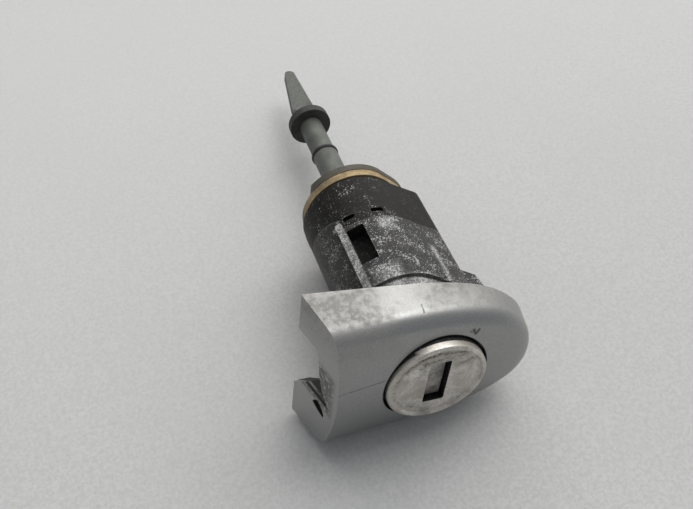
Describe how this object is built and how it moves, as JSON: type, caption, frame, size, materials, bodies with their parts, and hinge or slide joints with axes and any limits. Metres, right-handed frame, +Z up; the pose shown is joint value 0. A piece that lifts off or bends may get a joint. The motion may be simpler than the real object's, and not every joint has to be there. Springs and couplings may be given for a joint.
{
  "type": "door lock cylinder",
  "caption": "Vehicle door lock cylinder with a silver D-shaped handle end cap, key face with dust shutter, die-cast barrel and a tail shaft ending in a flat blade.",
  "frame": {"origin": "on the lock's axis, in the plane of the key hole in the cap's face", "axes": "+Y along the lock's axis from the key face to the tail blade, +Z up along the key slot's height, +X across the lock towards the cap's rounded tip, as the lock sits in the door"},
  "size_m": [0.0403, 0.0904, 0.0298],
  "materials": {
    "cap_paint": "satin silver paint with brown dirt, a fine scratch and nicks",
    "zinc_casting": "dark grey zinc casting with white-grey corrosion speckle",
    "collar_casting": "dark brown-black casting, worn and speckled",
    "sleeve_casting": "plain grey casting",
    "plug_casting": "plain grey casting",
    "cover_stainless": "worn stainless with a brown film",
    "shutter_stainless": "plain stainless sheet",
    "plate_steel": "dull grey-green steel",
    "tail_steel": "dull grey-khaki steel with a lighter streak",
    "spring_steel": "plain spring steel",
    "brass": "dull ochre brass",
    "black_rubber": "matt black rubber"
  },
  "bodies": {
    "housing": {"handle_end_cap": "cap_paint", "lock_housing": "zinc_casting", "face_seal": "black_rubber", "rear_collar": "collar_casting", "brass_ring": "brass", "rear_plate": "plate_steel", "return_spring": "spring_steel"},
    "locking_sleeve": {"locking_sleeve": "sleeve_casting"},
    "plug": {"lock_plug": "plug_casting", "key_face_cover": "cover_stainless", "shutter_pin": "spring_steel", "shutter_spring": "spring_steel", "plug_circlip": "spring_steel", "wafer_spring_1": "spring_steel", "wafer_spring_2": "spring_steel", "wafer_spring_3": "spring_steel", "wafer_spring_4": "spring_steel", "wafer_spring_5": "spring_steel", "wafer_spring_6": "spring_steel", "wafer_spring_7": "spring_steel", "wafer_spring_8": "spring_steel"},
    "shutter": {"dust_shutter": "shutter_stainless"},
    "wafer_1": {"wafer_1": "brass"},
    "wafer_2": {"wafer_2": "brass"},
    "wafer_3": {"wafer_3": "brass"},
    "wafer_4": {"wafer_4": "brass"},
    "wafer_5": {"wafer_5": "brass"},
    "wafer_6": {"wafer_6": "brass"},
    "wafer_7": {"wafer_7": "brass"},
    "wafer_8": {"wafer_8": "brass"},
    "tail": {"tail_shaft": "tail_steel", "shaft_o_ring": "black_rubber", "shaft_disc": "black_rubber", "rear_circlip": "spring_steel"}
  },
  "joints": [
    {"name": "plug_turn", "type": "hinge", "parent": "housing", "child": "plug", "pos_m": [0, 0, 0], "axis": [0, 1, 0], "range_deg": [-80, 80]},
    {"name": "sleeve_turn", "type": "hinge", "parent": "housing", "child": "locking_sleeve", "pos_m": [0, 0, 0], "axis": [0, 1, 0], "range_deg": [-80, 80]},
    {"name": "tail_turn", "type": "hinge", "parent": "housing", "child": "tail", "pos_m": [0, 0, 0], "axis": [0, 1, 0], "range_deg": [-80, 80], "stiffness_Nm_per_rad": 0.03, "deforming": ["return_spring"]},
    {"name": "shutter_swing", "type": "hinge", "parent": "plug", "child": "shutter", "pos_m": [-0.0026, 0.00085, 0], "axis": [0, 0, 1], "range_deg": [0, 84], "stiffness_Nm_per_rad": 0.00004, "springref_deg": -17.19, "deforming": ["shutter_spring"]},
    {"name": "wafer_1_slide", "type": "slide", "parent": "plug", "child": "wafer_1", "axis": [0, 0, 1], "range_m": [0, 0.0008], "stiffness_N_per_m": 20, "springref_m": 0.0008, "deforming": ["wafer_spring_1"]},
    {"name": "wafer_2_slide", "type": "slide", "parent": "plug", "child": "wafer_2", "axis": [0, 0, -1], "range_m": [0, 0.0008], "stiffness_N_per_m": 20, "springref_m": 0.0008, "deforming": ["wafer_spring_2"]},
    {"name": "wafer_3_slide", "type": "slide", "parent": "plug", "child": "wafer_3", "axis": [0, 0, 1], "range_m": [0, 0.0008], "stiffness_N_per_m": 20, "springref_m": 0.0008, "deforming": ["wafer_spring_3"]},
    {"name": "wafer_4_slide", "type": "slide", "parent": "plug", "child": "wafer_4", "axis": [0, 0, -1], "range_m": [0, 0.0008], "stiffness_N_per_m": 20, "springref_m": 0.0008, "deforming": ["wafer_spring_4"]},
    {"name": "wafer_5_slide", "type": "slide", "parent": "plug", "child": "wafer_5", "axis": [0, 0, 1], "range_m": [0, 0.0008], "stiffness_N_per_m": 20, "springref_m": 0.0008, "deforming": ["wafer_spring_5"]},
    {"name": "wafer_6_slide", "type": "slide", "parent": "plug", "child": "wafer_6", "axis": [0, 0, -1], "range_m": [0, 0.0008], "stiffness_N_per_m": 20, "springref_m": 0.0008, "deforming": ["wafer_spring_6"]},
    {"name": "wafer_7_slide", "type": "slide", "parent": "plug", "child": "wafer_7", "axis": [0, 0, 1], "range_m": [0, 0.0008], "stiffness_N_per_m": 20, "springref_m": 0.0008, "deforming": ["wafer_spring_7"]},
    {"name": "wafer_8_slide", "type": "slide", "parent": "plug", "child": "wafer_8", "axis": [0, 0, -1], "range_m": [0, 0.0008], "stiffness_N_per_m": 20, "springref_m": 0.0008, "deforming": ["wafer_spring_8"]}
  ],
  "couplings": [
    {"joint": "tail_turn", "follows": "plug_turn", "ratio": 1}
  ]
}
